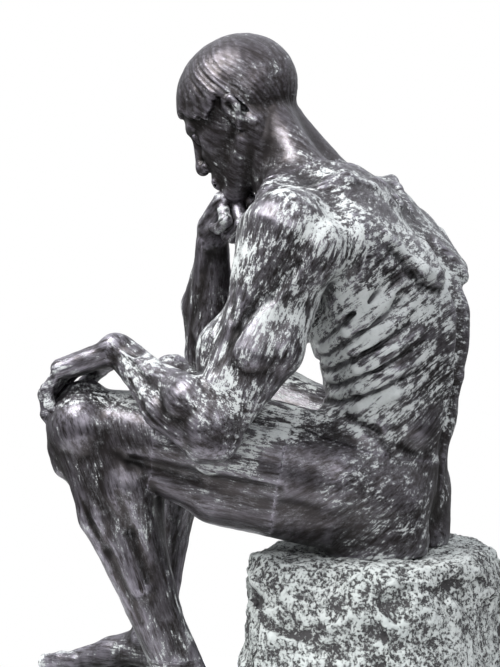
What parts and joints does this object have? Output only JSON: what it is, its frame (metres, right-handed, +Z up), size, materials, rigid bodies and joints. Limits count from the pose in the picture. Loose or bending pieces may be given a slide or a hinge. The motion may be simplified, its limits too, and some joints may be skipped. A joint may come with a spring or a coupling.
{
  "type": "seated figure statue",
  "caption": "Seated thinking figure in hollow patinated bronze sections, chin on hand, on a stone seat and base.",
  "frame": {"origin": "centre of the base's underside", "axes": "+Z up; the figure faces -Y; its left is +X"},
  "size_m": [0.3841, 0.5659, 0.7084],
  "materials": {
    "bronze": "dark brown patina with pale weathered streaks, semi-gloss",
    "sleeve_bronze": "turned, unpatinated",
    "steel": "zinc plated",
    "rock": "rough cast stone, pale grey-green with dark flecks"
  },
  "bodies": {
    "root": {"base_rock": "rock", "foot_nuts": "steel", "foot_studs": "steel", "foot_washers": "steel", "head": "bronze", "hips": "bronze", "left_ankle_sleeve": "sleeve_bronze", "left_elbow_sleeve": "sleeve_bronze", "left_foot": "bronze", "left_forearm": "bronze", "left_hand": "bronze", "left_hip_sleeve": "sleeve_bronze", "left_knee_sleeve": "sleeve_bronze", "left_shin": "bronze", "left_shoulder_sleeve": "sleeve_bronze", "left_thigh": "bronze", "left_upper_arm": "bronze", "left_wrist_sleeve": "sleeve_bronze", "neck_sleeve": "sleeve_bronze", "right_ankle_sleeve": "sleeve_bronze", "right_elbow_sleeve": "sleeve_bronze", "right_foot": "bronze", "right_forearm": "bronze", "right_hand": "bronze", "right_hip_sleeve": "sleeve_bronze", "right_knee_sleeve": "sleeve_bronze", "right_shin": "bronze", "right_shoulder_sleeve": "sleeve_bronze", "right_thigh": "bronze", "right_upper_arm": "bronze", "right_wrist_sleeve": "sleeve_bronze", "seat_nuts": "steel", "seat_rock": "rock", "seat_studs": "steel", "seat_washers": "steel", "torso": "bronze", "waist_sleeve": "sleeve_bronze"}
  },
  "joints": []
}
